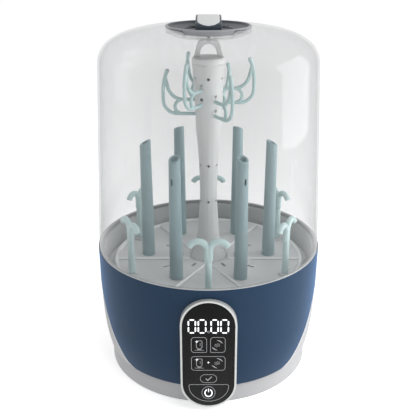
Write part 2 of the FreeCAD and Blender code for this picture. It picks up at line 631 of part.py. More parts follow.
# ---------------------------------------------------------------- lid
def make_dome():
    wall = revolved("dome_wall", [
        ("dome_low_radius", "dome_low"), ("shoulder_radius", "shoulder"),
        ("brow_radius", "brow", "shoulder_arc", 1), ("crown_radius", "crown", "brow_arc", 1),
        ("dome_flat", "dome_top", "crown_arc", 1), ("dome_hole", "dome_top"),
        ("dome_hole", "dome_top - dome_wall"), ("dome_flat - 0.1", "dome_top - dome_wall"),
        ("crown_radius - 0.63", "crown - 2.1", "crown_arc - dome_wall", -1),
        ("brow_radius - 1.27", "brow - 1.8", "brow_arc - dome_wall", -1),
        ("shoulder_radius - dome_wall", "shoulder - 0.1", "shoulder_arc - dome_wall", -1),
        ("122.7", "148"), ("119.4", "143.6"), ("119.4", "dome_lip"), ("121.2", "dome_lip"),
        ("121.2", "dome_low")])
    keep("dome", cut("dome_cut", wall, [lip_part("dome_notch", "0.6", "360", "400")]))


def lip_part(name, gap, low, high):
    """The front part of a ring under the dish's rim, or the room for it with a gap round it."""
    box = block(f"{name}_box", (f"0 - lip_half - {gap}", "-60", low), (f"lip_half + {gap}", "-28", high))
    return shared(name, [box, drum(f"{name}_drum", f"lip_radius + {gap}", "360", "400")])


def bar_outline(grow):
    """Side view of the handle's arched outer face, (depth, height)."""
    reach, corner = f"bar_reach + {grow}", "(bar_reach - bar_corner)"
    rise = f"sqrt((bar_arch - bar_corner)^2 - {corner}^2)"      # from the arch's centre to the corner's
    share = f"(bar_arch + {grow}) / (bar_arch - bar_corner)"
    across, lift = f"{corner} * {share}", f"bar_top - bar_arch + {rise} * {share}"
    corner_lift = f"bar_top - bar_arch + {rise}"
    return [(f"0 - ({reach})", "376"), (f"0 - ({reach})", corner_lift),
            (f"0 - {across}", lift, f"bar_corner + {grow}", -1),
            (across, lift, f"bar_arch + {grow}", -1),
            (reach, corner_lift, f"bar_corner + {grow}", -1), (reach, "376")]


def make_handle():
    """Vented dish let into the dome's crown, with an arched bar handle across it."""
    bowl = [("42.6", "dish_top"), ("39.4", "380.8"), ("26.6", "378.6"), ("24.8", "377.2"), ("0", "377")]
    disc = revolved("dish_disc", [
        ("0", "374.6"), ("31", "374.8"), ("40.6", "379"), ("41.2", "dome_top + 0.1"),
        ("dish_radius", "dome_top + 0.1"), ("dish_radius - 0.3", "dish_top - 0.3")] + bowl)
    core = revolved("dish_core", [("0", "370"), ("47", "370"), ("47", "dish_top")] + bowl)
    lip = cut("dish_lip", lip_part("lip_full", "0", "lip_low", "dome_top + 0.6"),
              [drum("lip_inner", "42.9", "360", "400")])
    steam_slots = [block("steam_slot", (low, depth, "370"), (high, f"{depth} + 2.4", "385"))
                   for depth in ("-22.6", "20.2") for low, high in (("-21.6", "-14.6"), ("14.6", "21.6"))]
    screw_ways = [drum("handle_screw_way", "1.6", "360", "383.5", "0", along) for along in ("-36", "36")]
    keep("handle_dish", cut("handle_dish_cut", fused("dish_with_lip", [disc, lip]),
                            steam_slots + screw_ways))

    gap = [("33.4", "376"), ("32.6", "380.5"), ("26.5", "385.73", "5.6", 1),
           ("-26.5", "385.73", "138", 1), ("-32.6", "380.5", "5.6", 1), ("-33.4", "376")]
    bar = prism("bar_solid", "YZ_Plane", bar_outline("0") + gap, "-bar_half", "bar_half")
    strip = prism("inlay_strip", "YZ_Plane", bar_outline("0.3"), "-inlay_half", "inlay_half")
    strip_core = prism("inlay_core", "YZ_Plane", bar_outline("-0.8"), "-inlay_half - 1", "inlay_half + 1")
    straight = "inlay_reach - inlay_half"
    rounding = prism("inlay_rounding", "XY_Plane", [
        ("-inlay_half", f"0 - ({straight})"), ("0", "-inlay_reach", "inlay_half", 1),
        ("inlay_half", f"0 - ({straight})", "inlay_half", 1), ("inlay_half", straight),
        ("0", "inlay_reach", "inlay_half", 1), ("-inlay_half", straight, "inlay_half", 1)],
        "384", "400")
    inlay = keep("handle_inlay", shared("inlay", [cut("inlay_skin", strip, [strip_core]), rounding]))
    keep("handle_bar", cut("handle_bar_cut", bar, [core, inlay] + screw_ways))

    ring = revolved("retainer_ring", [
        ("31.5", "372.6"), ("31.5", "374.3"), ("41.6", "378.6"), ("42", "379.3"), ("44.5", "379.3"),
        ("44.5", "376.4"), ("34", "371.8")])
    lip_room = block("lip_room", ("-25.6", "-50", "376.9"), ("25.6", "-30", "390"))
    keep("dish_retainer", cut("dish_retainer_cut", ring, [lip_room] + screw_ways))
    screws = [fused("handle_screw", [drum("handle_screw_head", "2.9", "369.6", "371.6", "0", along),
                                     drum("handle_screw_shank", "1.5", "371.6", "383", "0", along)])
              for along in ("-36", "36")]
    keep("handle_screws", group("handle_screws_group", screws))


for make in (make_shell, make_ground, make_panel, make_chamber, make_air_path, make_rotor,
             make_electrics, make_filter, make_tray, make_posts, make_hooks, make_mast,
             make_teat_arms, make_dome, make_handle):
    make()
doc.recompute()

# ---------------------------------------------------------------- checks and files
failed = [item.Label for item in doc.Objects if "Invalid" in item.State or "Error" in item.State]
if failed:
    raise SystemExit("failed: " + ", ".join(failed))
broken = [name for name, item in pieces.items()
          if item.Shape.isNull() or not item.Shape.isValid() or not item.Shape.Solids]
if broken:
    raise SystemExit("not a valid solid: " + ", ".join(broken))
for name, item in pieces.items():
    item.Shape.exportStep(f"parts/{name}.step")
    print(f"{name:18s} solids {len(item.Shape.Solids)} volume {item.Shape.Volume:10.1f}")
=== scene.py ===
"""Looks for the bottle sterilizer: moulded shells, clear dome, rack and touch panel.

Lengths are in millimetres until they enter a mesh, which is in metres.
"""
import math
import bmesh
import bpy
from mathutils import Matrix, Vector


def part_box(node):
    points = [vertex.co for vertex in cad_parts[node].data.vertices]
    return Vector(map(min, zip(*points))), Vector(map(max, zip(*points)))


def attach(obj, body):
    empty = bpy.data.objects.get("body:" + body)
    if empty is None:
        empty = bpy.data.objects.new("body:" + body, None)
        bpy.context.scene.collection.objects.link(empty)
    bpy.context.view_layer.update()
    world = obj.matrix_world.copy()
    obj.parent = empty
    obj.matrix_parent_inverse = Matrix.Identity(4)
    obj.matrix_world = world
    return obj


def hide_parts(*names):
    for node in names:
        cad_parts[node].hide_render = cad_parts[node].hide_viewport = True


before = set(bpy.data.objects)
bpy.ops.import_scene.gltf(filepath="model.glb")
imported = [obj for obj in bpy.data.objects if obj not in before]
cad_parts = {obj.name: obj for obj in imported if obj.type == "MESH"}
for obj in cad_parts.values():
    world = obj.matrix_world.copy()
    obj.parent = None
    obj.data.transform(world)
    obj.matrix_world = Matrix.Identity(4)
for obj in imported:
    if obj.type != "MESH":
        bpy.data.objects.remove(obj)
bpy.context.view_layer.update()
MM = 0.001
TURNS = 192                     # faces round a turned piece
scene = bpy.context.scene


class Span:
    """A CAD node's box in millimetres."""

    def __init__(self, node):
        low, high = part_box(node)
        self.x0, self.y0, self.z0 = (value / MM for value in low)
        self.x1, self.y1, self.z1 = (value / MM for value in high)


# ---------------- camera, floor and light
CAMERA_AT = (-0.55, -725.8, 470.96)
CAMERA_DOWN = 21.855            # degrees below the horizon
CAMERA_LENS = 59.42
FLOOR_HALF = 12000
FRONT_DIM, SIDE_BRIGHT = 0.15, 1.0       # the room's brightness in front and at the sides
LEFT_RIGHT = 0.84, 1.14                  # and what it is multiplied by at the left and the right


def make_camera():
    camera = bpy.data.cameras.new("camera")
    camera.lens = CAMERA_LENS
    camera.sensor_width = 36
    camera.clip_start = 0.01
    holder = bpy.data.objects.new("camera", camera)
    scene.collection.objects.link(holder)
    holder.location = [value * MM for value in CAMERA_AT]
    holder.rotation_euler = (math.radians(90 - CAMERA_DOWN), 0, 0)
    scene.camera = holder


def lamp(name, place, aim, size, power):
    """A rectangular soft box that faces a point."""
    data = bpy.data.lights.new(name, "AREA")
    data.shape = "RECTANGLE"
    data.size, data.size_y = (value * MM for value in size)
    data.energy = power
    holder = bpy.data.objects.new(name, data)
    scene.collection.objects.link(holder)
    holder.location = [value * MM for value in place]
    way = Vector(aim) - Vector(place)
    holder.rotation_euler = way.to_track_quat("-Z", "Y").to_euler()
    return holder


def put(node, **values):
    """Sets a node's inputs; an underscore stands for a space."""
    for name, value in values.items():
        node.inputs[name.replace("_", " ")].default_value = value


def ranged(nodes, links, source, low, high, **limits):
    """Maps a value from 0 to 1, or from other limits, onto low to high."""
    scale = nodes.new("ShaderNodeMapRange")
    put(scale, To_Min=low, To_Max=high, **limits)
    links.new(source, scale.inputs["Value"])
    return scale.outputs["Result"]


def make_world():
    """A white room that is dimmer in front of the object and to its left."""
    world = bpy.data.worlds.new("studio")
    scene.world = world
    world.use_nodes = True
    nodes, links = world.node_tree.nodes, world.node_tree.links
    nodes.clear()
    output = nodes.new("ShaderNodeOutputWorld")
    background = nodes.new("ShaderNodeBackground")
    direction = nodes.new("ShaderNodeTexCoord")
    split = nodes.new("ShaderNodeSeparateXYZ")
    links.new(direction.outputs["Generated"], split.inputs[0])
    shade = ranged(nodes, links, split.outputs["Y"], FRONT_DIM, SIDE_BRIGHT, From_Min=-0.95,
                   From_Max=0.1)
    tilt = ranged(nodes, links, split.outputs["X"], *LEFT_RIGHT, From_Min=-1)
    level = nodes.new("ShaderNodeMath")
    level.operation = "MULTIPLY"
    seen = nodes.new("ShaderNodeLightPath")
    pick = nodes.new("ShaderNodeMix")
    put(pick, B=1.0)
    links.new(shade, level.inputs[0])
    links.new(tilt, level.inputs[1])
    links.new(seen.outputs["Is Camera Ray"], pick.inputs["Factor"])
    links.new(level.outputs["Value"], pick.inputs["A"])
    links.new(pick.outputs["Result"], background.inputs["Strength"])
    links.new(background.outputs[0], output.inputs[0])


def make_studio():
    scene.view_settings.view_transform = "Standard"
    make_world()
    lamp("left_box", (-760, 20, 470), (0, 0, 300), (300, 560), 0.22)
    lamp("right_box", (760, 60, 430), (0, 0, 280), (620, 680), 1.5)
    for name, place, size, power in (("key_fill", (300, -500, 1000), (500, 500), 3.0),
                                     ("left_fill", (-700, 60, 460), (500, 600), 0.5),
                                     ("right_fill", (760, -60, 430), (620, 680), 2.1),
                                     ("low_fill", (700, -450, 150), (300, 200), 1.5),
                                     ("front_fill", (0, -900, 420), (700, 500), 0.9)):
        lamp(name, place, (0, 0, 240), size, power).visible_glossy = False
    bm = bmesh.new()
    bmesh.ops.create_grid(bm, x_segments=2, y_segments=2, size=FLOOR_HALF * MM)
    floor = piece_from(bm, "floor", floor_white())
    floor.visible_glossy = False


# ---------------- materials
def new_material(name):
    material = bpy.data.materials.new(name)
    material.use_nodes = True
    return material, material.node_tree.nodes, material.node_tree.links


def floor_white():
    material, nodes = new_material("floor_white")[:2]
    put(nodes["Principled BSDF"], Base_Color=(0.93, 0.93, 0.93, 1), Roughness=0.9,
        Specular_IOR_Level=0.1, Emission_Color=(1, 1, 1, 1), Emission_Strength=0.43)
    return material


def srgb(red, green, blue):
    """Screen values from 0 to 255 as linear light."""
    return tuple(((v / 255 + 0.055) / 1.055) ** 2.4 if v > 10 else v / 255 / 12.92
                 for v in (red, green, blue)) + (1,)


def noise(nodes, links, where, size, detail=3.0):
    """Noise whose features are about size millimetres across."""
    texture = nodes.new("ShaderNodeTexNoise")
    put(texture, Scale=1 / (size * MM), Detail=detail)
    links.new(where.outputs["Object"], texture.inputs["Vector"])
    return texture.outputs["Fac"]


def moulded(name, colour, roughness, grain=0.6, depth=0.02, mottle=0.04, coat=0.0, metal=0.0,
            gloss=0.5, glow=None):
    """Plastic, rubber or metal with a fine grain, faint clouds, uneven gloss and perhaps a sheen."""
    material, nodes, links = new_material(name)
    shader = nodes["Principled BSDF"]
    put(shader, Metallic=metal, Coat_Weight=coat, Coat_Roughness=0.08, Specular_IOR_Level=gloss)
    if glow:
        put(shader, Sheen_Weight=0.8, Sheen_Roughness=0.31, Sheen_Tint=glow)
    where = nodes.new("ShaderNodeTexCoord")
    blend = nodes.new("ShaderNodeMix")
    blend.data_type = "RGBA"
    put(blend, A=tuple(c * (1 - mottle) for c in colour[:3]) + (1,),
        B=tuple(min(1, c * (1 + mottle)) for c in colour[:3]) + (1,))
    links.new(noise(nodes, links, where, 34), blend.inputs["Factor"])
    links.new(blend.outputs["Result"], shader.inputs["Base Color"])
    polish = ranged(nodes, links, noise(nodes, links, where, 11), max(0.02, roughness - 0.05),
                    roughness + 0.05)
    links.new(polish, shader.inputs["Roughness"])
    if depth:
        bump = nodes.new("ShaderNodeBump")
        put(bump, Strength=0.35, Distance=depth * MM)
        links.new(noise(nodes, links, where, grain, detail=2.0), bump.inputs["Height"])
        links.new(bump.outputs["Normal"], shader.inputs["Normal"])
    return material


def clear_plastic(name, tint, haze=0.01):
    """Thin clear wall: light passes unbent, and its surface mirrors more at a grazing angle."""
    material, nodes, links = new_material(name)
    output = nodes["Material Output"]
    shine = nodes["Principled BSDF"]
    put(shine, Base_Color=(0.97, 0.98, 0.99, 1), Metallic=1)
    smears = noise(nodes, links, nodes.new("ShaderNodeTexCoord"), 18)
    links.new(ranged(nodes, links, smears, 0.02, 0.07), shine.inputs["Roughness"])
    through = nodes.new("ShaderNodeBsdfTransparent")
    put(through, Color=tint)
    graze = nodes.new("ShaderNodeLayerWeight")
    put(graze, Blend=0.5)
    steep = nodes.new("ShaderNodeMath")
    steep.operation = "POWER"
    steep.inputs[1].default_value = 5
    least = nodes.new("ShaderNodeMath")
    least.operation = "MULTIPLY_ADD"
    least.inputs[1].default_value = 0.9
    least.inputs[2].default_value = 0.035 + haze
    mix = nodes.new("ShaderNodeMixShader")
    links.new(graze.outputs["Facing"], steep.inputs[0])
    links.new(steep.outputs["Value"], least.inputs[0])
    links.new(least.outputs["Value"], mix.inputs["Fac"])
    links.new(through.outputs[0], mix.inputs[1])
    links.new(shine.outputs[0], mix.inputs[2])
    links.new(mix.outputs[0], output.inputs["Surface"])
    return material


def lit(name, colour, strength):
    """A mark behind glossy glass that glows unevenly; on a backlit mark the glow is its lamp, on a
    printed mark it is painted light.
    """
    material, nodes, links = new_material(name)
    shader = nodes["Principled BSDF"]
    put(shader, Base_Color=colour, Roughness=0.3, Emission_Color=colour)
    uneven = noise(nodes, links, nodes.new("ShaderNodeTexCoord"), 3)
    level = ranged(nodes, links, uneven, strength * 0.85, strength)
    links.new(level, shader.inputs["Emission Strength"])
    return material


# ---------------- mesh helpers
def piece_from(bm, name, material, sharp=32):
    """A finished object from a mesh built in metres."""
    bmesh.ops.recalc_face_normals(bm, faces=bm.faces)
    mesh = bpy.data.meshes.new(name)
    bm.to_mesh(mesh)
    bm.free()
    mesh.shade_smooth()
    mesh.set_sharp_from_angle(angle=math.radians(sharp))
    mesh.materials.append(material)
    piece = bpy.data.objects.new(name, mesh)
    scene.collection.objects.link(piece)
    return piece


def stands_for(piece, body, slot, *nodes):
    """Puts the piece on its body, in place of these nodes."""
    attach(piece, body)
    if nodes:
        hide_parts(*nodes)


def bake(piece, sharp=32):
    """Applies the piece's modifiers."""
    view = bpy.context.evaluated_depsgraph_get()
    finished = bpy.data.meshes.new_from_object(piece.evaluated_get(view))
    piece.modifiers.clear()
    piece.data = finished
    finished.shade_smooth()
    finished.set_sharp_from_angle(angle=math.radians(sharp))
    return piece


def carve(piece, shape, operation="DIFFERENCE", crossed=False):
    """Cuts a mesh or another piece out of the piece; crossed is for a mesh that cuts itself."""
    if isinstance(shape, bmesh.types.BMesh):
        shape = piece_from(shape, "cutter", piece.data.materials[0])
    step = piece.modifiers.new("carve", "BOOLEAN")
    step.object = shape
    step.operation = operation
    step.solver = "EXACT"
    step.use_self = crossed
    bake(piece)
    bpy.data.objects.remove(shape)


def second_finish(piece, material, chosen):
    """Gives another material to the faces that chosen picks."""
    piece.data.materials.append(material)
    for face in piece.data.polygons:
        face.material_index = 1 if chosen(face) else 0


def join_rows(bm, rows):
    """Faces between closed rows of points, with a cap at each end."""
    count = len(rows[0])
    for one, two in zip(rows, rows[1:]):
        for k in range(count):
            bm.faces.new([one[k], one[(k + 1) % count], two[(k + 1) % count], two[k]])
    bm.faces.new(rows[0][::-1])
    bm.faces.new(rows[-1])


def bow(start, end, radius, side, steps=8):
    """Points along an arc, without its start; its centre is left (1) or right (-1) of the way."""
    a, b = Vector(start), Vector(end)
    chord = b - a
    rise = math.sqrt(max(0, radius ** 2 - (chord.length / 2) ** 2))
    centre = (a + b) / 2 + Vector((-chord.y, chord.x)).normalized() * rise * side
    first = math.atan2(a.y - centre.y, a.x - centre.x)
    last = math.atan2(b.y - centre.y, b.x - centre.x)
    sweep = (last - first + math.pi) % (2 * math.pi) - math.pi
    return [(centre.x + radius * math.cos(first + sweep * k / steps),
             centre.y + radius * math.sin(first + sweep * k / steps)) for k in range(1, steps + 1)]


def soften(outline, radius, steps=4, turn=18):
    """Rounds the outline's corners that turn by more than so many degrees."""
    result = []
    count = len(outline)
    for index, spot in enumerate(outline):
        here = Vector(spot)
        before = Vector(outline[index - 1]) - here
        after = Vector(outline[(index + 1) % count]) - here
        if before.length < 1e-6 or after.length < 1e-6:
            continue
        angle = math.pi - before.angle(after)
        if math.degrees(angle) < turn or abs(here.x) < 1e-6:
            result.append(spot)
            continue
        reach = min(radius * math.tan(min(angle, 2.6) / 2), 0.45 * before.length, 0.45 * after.length)
        start = here + before.normalized() * reach
        stop = here + after.normalized() * reach
        for k in range(steps + 1):
            t = k / steps
            result.append(tuple(start * (1 - t) ** 2 + here * 2 * t * (1 - t) + stop * t * t))
    return result


def lathe(bm, outline, turns=TURNS, ripple=None):
    """Turns a closed outline of (radius, height) round Z."""
    rings = []
    for radius, height in outline:
        if abs(radius) < 1e-6:
            rings.append([bm.verts.new((0, 0, height * MM))] * turns)
            continue
        ring = []
        for k in range(turns):
            angle = 2 * math.pi * k / turns
            reach = radius * (ripple(angle, height) if ripple else 1)
            ring.append(bm.verts.new((reach * math.cos(angle) * MM, reach * math.sin(angle) * MM,
                                      height * MM)))
        rings.append(ring)
    for one, two in zip(rings, rings[1:] + rings[:1]):
        for k in range(turns):
            corners = [one[k], one[(k + 1) % turns], two[(k + 1) % turns], two[k]]
            unique = list(dict.fromkeys(corners))
            if len(unique) > 2:
                bm.faces.new(unique)


def slab(bm, outline, low, high, place=lambda across, along, depth: (across, along, depth)):
    """A straight-sided solid from a flat outline; place puts its points in space."""
    ends = [[bm.verts.new([v * MM for v in place(x, y, depth)]) for x, y in outline]
            for depth in (low, high)]
    bm.faces.new(list(reversed(ends[0])))
    bm.faces.new(ends[1])
    count = len(outline)
    for k in range(count):
        after = (k + 1) % count
        bm.faces.new([ends[0][k], ends[0][after], ends[1][after], ends[1][k]])


def facing(across, along, depth):
    """An outline of (x, z) seen from the front, with depth towards the viewer."""
    return (across, -depth, along)


def sideways(across, along, depth):
    """An outline of (y, z) seen from the side, with depth along X."""
    return (depth, across, along)


def capsule(half, low, high, steps=24):
    """An upright outline with round ends, (x, z)."""
    top = [(half * math.cos(math.pi * k / steps), high - half + half * math.sin(math.pi * k / steps))
           for k in range(steps + 1)]
    bottom = [(-half * math.cos(math.pi * k / steps), low + half - half * math.sin(math.pi * k / steps))
              for k in range(steps + 1)]
    return top + bottom


def frames_along(path):
    """Directions across a path that don't twist along it."""
    ways = [(b - a).normalized() for a, b in zip(path, path[1:])]
    ways = [ways[0]] + [(a + b).normalized() for a, b in zip(ways, ways[1:])] + [ways[-1]]
    across = ways[0].orthogonal().normalized()
    result = []
    for way in ways:
        across = (across - way * across.dot(way)).normalized()
        result.append((across, way.cross(across)))
    return ways, result


def tube(bm, path, radius, sides, round_ends=True):
    """A round rod along a path; radius is a number or one number for each point."""
    path = [Vector(spot) for spot in path]
    radii = list(radius) if isinstance(radius, (list, tuple)) else [radius] * len(path)
    ways, sets = frames_along(path)
    stations = list(zip(path, radii, sets))
    if round_ends:
        steps = 5
        for end, way, reverse in ((0, -ways[0], True), (-1, ways[-1], False)):
            cap = []
            for k in range(1, steps + 1):
                turn = math.pi / 2 * k / steps
                cap.append((path[end] + way * radii[end] * math.sin(turn),
                            max(radii[end] * math.cos(turn), 0.02), sets[end]))
            stations = cap[::-1] + stations if reverse else stations + cap
    rings = []
    for spot, size, (across, up) in stations:
        rings.append([bm.verts.new((spot + (across * math.cos(2 * math.pi * k / sides)
                                            + up * math.sin(2 * math.pi * k / sides)) * size) * MM)
                      for k in range(sides)])
    join_rows(bm, rings)


def turned(bm, angle, radius=0):
    """Turns a mesh's points about Z and sets them out along that direction."""
    spin = Matrix.Rotation(math.radians(angle), 4, "Z")
    shift = Matrix.Translation((radius * MM, 0, 0))
    bmesh.ops.transform(bm, matrix=spin @ shift, verts=bm.verts)
    return bm


def copy_into(bm, other):
    """Adds another mesh's faces, and frees it."""
    mesh = bpy.data.meshes.new("part")
    other.to_mesh(mesh)
    other.free()
    bm.from_mesh(mesh)
    bpy.data.meshes.remove(mesh)


def grow_together(piece, size, smooth):
    """Remeshes overlapping parts into one moulded skin."""
    skin = piece.modifiers.new("skin", "REMESH")
    skin.mode = "VOXEL"
    skin.voxel_size = size * MM
    ease = piece.modifiers.new("ease", "SMOOTH")
    ease.factor = 0.5
    ease.iterations = smooth
    return bake(piece, sharp=180)


def curve(outline):
    """Points along an outline; (x, y, radius, side) is an arc that ends at (x, y)."""
    points = [tuple(outline[0][:2])]
    for spot in outline[1:]:
        if len(spot) == 2:
            points.append(tuple(spot))
        else:
            points += bow(points[-1], spot[:2], spot[2], spot[3])
    return points


def bevel(piece, width, segments=2, angle=35):
    """Rounds the edges that turn by more than an angle."""
    step = piece.modifiers.new("bevel", "BEVEL")
    step.width = width * MM
    step.segments = segments
    step.limit_method = "ANGLE"
    step.angle_limit = math.radians(angle)
    return piece


def drum_mesh(bm, radius, low, high, at=(0, 0), turns=48):
    """An upright cylinder."""
    angles = [2 * math.pi * k / turns for k in range(turns)]
    slab(bm, [(at[0] + radius * math.cos(a), at[1] + radius * math.sin(a)) for a in angles],
         low, high)


def round_at(radius, angle):
    """The point (x, y) at a radius and an angle in degrees."""
    return radius * math.cos(math.radians(angle)), radius * math.sin(math.radians(angle))


def box_mesh(bm, low, high):
    slab(bm, [(low[0], low[1]), (high[0], low[1]), (high[0], high[1]), (low[0], high[1])],
         low[2], high[2])


def ellipse(cx, cy, rx, ry, start=0, stop=360, steps=48):
    """Points round an ellipse, or along an arc of it between two angles in degrees."""
    closed = abs(stop - start) >= 360
    count = steps if closed else steps + 1
    return [(cx + rx * math.cos(math.radians(start + (stop - start) * k / steps)),
             cy + ry * math.sin(math.radians(start + (stop - start) * k / steps)))
            for k in range(count)]


# ---------------- the base's shells
WALL = 2.4
SIDE = curve([(117.5, 22), (123.9, 66, 227, 1), (125.85, 141.8, 1700, 1)])     # (radius, height)
EDGE = curve([(-91, 20), (-72, 34, 27, 1), (20, 142, 367, -1)])                # (depth, height)
TRIM_HALF = 1.0                 # half the width of the strip along the swept edge


def along(line, height):
    """Interpolates the first coordinate of a rising line of points at a height."""
    for (a, low), (b, high) in zip(line, line[1:]):
        if low <= height <= high:
            share = (height - low) / max(1e-9, high - low)
            return a + (b - a) * share
    return line[-1][0] if height > line[-1][1] else line[0][0]


def swept_wall(name, material, first, last, grow, columns, rows=72):
    """A piece of the round wall between two swept edges.

    first and last give the angle from the front, as a function of radius and height.
    """
    bm = bmesh.new()
    low, high = SIDE[0][1], SIDE[-1][1]
    layers = []
    for back in (0, WALL):
        grid = []
        for row in range(rows + 1):
            height = low + (high - low) * row / rows
            radius = along(SIDE, height) + grow
            start, stop = first(radius, height), last(radius, height)
            line = []
            for column in range(columns + 1):
                turn = start + (stop - start) * column / columns
                reach = radius - back
                line.append(bm.verts.new((reach * math.sin(turn) * MM, -reach * math.cos(turn) * MM,
                                          height * MM)))
            grid.append(line)
        layers.append(grid)
    outer, inner = layers
    for grid in layers:
        for one, two in zip(grid, grid[1:]):
            for k in range(columns):
                bm.faces.new([one[k], one[k + 1], two[k + 1], two[k]])
    for row in (0, -1):
        for k in range(columns):
            bm.faces.new([outer[row][k], outer[row][k + 1], inner[row][k + 1], inner[row][k]])
    for k in (0, -1):
        for row in range(rows):
            bm.faces.new([outer[row][k], outer[row + 1][k], inner[row + 1][k], inner[row][k]])
    return piece_from(bm, name, material)


def edge_turn(shift):
    """The swept edge as an angle from the front, moved back by shift."""
    return lambda radius, height: math.acos(max(-1, min(1, -(along(EDGE, height) + shift) / radius)))


def opposite(turn):
    return lambda radius, height: 2 * math.pi - turn(radius, height)


def mirrored(turn):
    return lambda radius, height: -turn(radius, height)


def pill_cutter(half, low, high, front, back):
    """An upright capsule-shaped block from y = back forwards to y = -front."""
    bm = bmesh.new()
    slab(bm, capsule(half, low, high), -back, front, facing)
    return bm


PANEL = Span("panel_frame")
GLASS = Span("panel_glass")
FRONT = -PANEL.y0               # how far forward the panel stands
GAP = 0.2                       # between a wall and what passes through it
REAR = 90, 140                  # the depths between which the rear wall is cut


def panel_room():
    """Where the panel stands in the front wall."""
    return pill_cutter(PANEL.x1 + GAP, PANEL.z0 - GAP, PANEL.z1 + GAP, FRONT + 5, -100)


def node_room(*names):
    """Where these nodes pass through the rear wall."""
    bm = bmesh.new()
    for span in map(Span, names):
        box_mesh(bm, (span.x0 - GAP, REAR[0], span.z0 - GAP),
                 (span.x1 + GAP, REAR[1], span.z1 + GAP))
    return bm


def make_shells():
    blue = moulded("cover_plastic", srgb(36, 58, 82), roughness=0.42, grain=0.5, depth=0.006,
                   mottle=0.02, gloss=0.2, glow=(0.1, 0.32, 0.72, 1))
    grey = moulded("shell_plastic", srgb(174, 174, 176), roughness=0.38, grain=0.5, depth=0.01)
    pale = moulded("trim_plastic", srgb(214, 215, 216), roughness=0.28, grain=0.5, depth=0.006)
    cover = swept_wall("cover_shell", blue, mirrored(edge_turn(-TRIM_HALF)), edge_turn(-TRIM_HALF),
                       0, 150)
    carve(cover, panel_room())
    stands_for(bevel(cover, 0.5, 3), "base", "cover_blue", "front_cover")

    rear = swept_wall("rear_wall", grey, edge_turn(TRIM_HALF), opposite(edge_turn(TRIM_HALF)),
                      0.1, 180)
    carve(rear, node_room("filter_frame", "mains_inlet"))
    stands_for(bevel(rear, 0.4), "base", "shell_grey", "rear_shell")

    for side, place in (("right", lambda turn: turn), ("left", opposite)):
        strip = swept_wall(f"edge_trim_{side}", pale, place(edge_turn(-TRIM_HALF)),
                           place(edge_turn(TRIM_HALF)), 0.4, 4)
        stands_for(bevel(strip, 0.35, 3), "base", "trim_light", "edge_trims")

    ring_mesh = bmesh.new()
    lathe(ring_mesh, soften([(109.9, 0.4), (114.9, 0.4), (115.6, 1.1), (114.9, 20.0), (114.3, 20.6),
                             (112.8, 20.6), (112.8, 31), (110.2, 31), (110.2, 4.6), (109.9, 4.6)], 0.5))
    ring = piece_from(ring_mesh, "base_band", grey)
    carve(ring, panel_room())
    carve(ring, node_room("mains_inlet"))
    stands_for(ring, "base", "shell_grey", "base_ring")


# ---------------- the touch panel
INK = (-GLASS.y0 + 0.005, -GLASS.y0 + 0.075)     # how far forward the marks' two faces stand
LINE = 0.45                     # the usual width of a line
MITRE = 0.35                    # limits a line's width at a sharp corner


def printed(bm, outline):
    slab(bm, outline, *INK, facing)


def ribbon(bm, points, width=LINE, closed=True):
    """A printed line through the points."""
    spots = [Vector(p) for p in points]
    count = len(spots)
    left, right = [], []
    for k, here in enumerate(spots):
        before = spots[k - 1] if closed or k else here
        after = spots[(k + 1) % count] if closed or k < count - 1 else here
        one = (here - before).normalized() if (here - before).length > 1e-9 else None
        two = (after - here).normalized() if (after - here).length > 1e-9 else None
        one, two = one or two, two or one
        mid = Vector((-(one.y + two.y), one.x + two.x))
        mid = mid.normalized() if mid.length > 1e-6 else Vector((-one.y, one.x))
        reach = width / 2 / max(MITRE, mid.dot(Vector((-one.y, one.x))))
        left.append(here + mid * reach)
        right.append(here - mid * reach)
    sets = [[bm.verts.new([v * MM for v in facing(p.x, p.y, depth)]) for p in side]
            for depth in INK for side in (left, right)]
    low_left, low_right, high_left, high_right = sets
    for k in range(count if closed else count - 1):
        n = (k + 1) % count
        bm.faces.new([high_left[k], high_left[n], high_right[n], high_right[k]])
        bm.faces.new([low_right[k], low_right[n], low_left[n], low_left[k]])
        bm.faces.new([low_left[k], low_left[n], high_left[n], high_left[k]])
        bm.faces.new([high_right[k], high_right[n], low_right[n], low_right[k]])
    if not closed:
        for k in (0, -1):
            bm.faces.new([low_left[k], high_left[k], high_right[k], low_right[k]])


def digit_zero(bm, left, right, low, high, half=0.75, gap=0.95):
    """A nought in six segments with pointed ends; half is half a segment's width."""
    middle = (low + high) / 2
    start, stop = left + half + gap, right - half - gap
    for level in (low + half, high - half):
        printed(bm, [(start, level), (start + half, level + half), (stop - half, level + half),
                     (stop, level), (stop - half, level - half), (start + half, level - half)])
    for line in (left + half, right - half):
        for foot, head in ((low + half + gap, middle - gap * 0.6),
                           (middle + gap * 0.6, high - half - gap)):
            printed(bm, [(line, foot), (line + half, foot + half), (line + half, head - half),
                         (line, head), (line - half, head - half), (line - half, foot + half)])


def key_outline(left, right, low, high, radius=3.2, square=None):
    """A key's rounded outline; square names the corner that is nearly sharp."""
    points = []
    for cx, cy, start, corner in ((right, high, 0, "ne"), (left, high, 90, "nw"),
                                  (left, low, 180, "sw"), (right, low, 270, "se")):
        r = 0.9 if corner == square else radius
        x = cx - r if cx == right else cx + r
        y = cy - r if cy == high else cy + r
        points += ellipse(x, y, r, r, start, start + 90, 8)
    return points


def star(bm, cx, cy, reach):
    points = []
    for k in range(8):
        turn = math.pi / 4 * k
        size = reach if k % 2 == 0 else reach * 0.3
        points.append((cx + size * math.sin(turn), cy + size * math.cos(turn)))
    printed(bm, points)


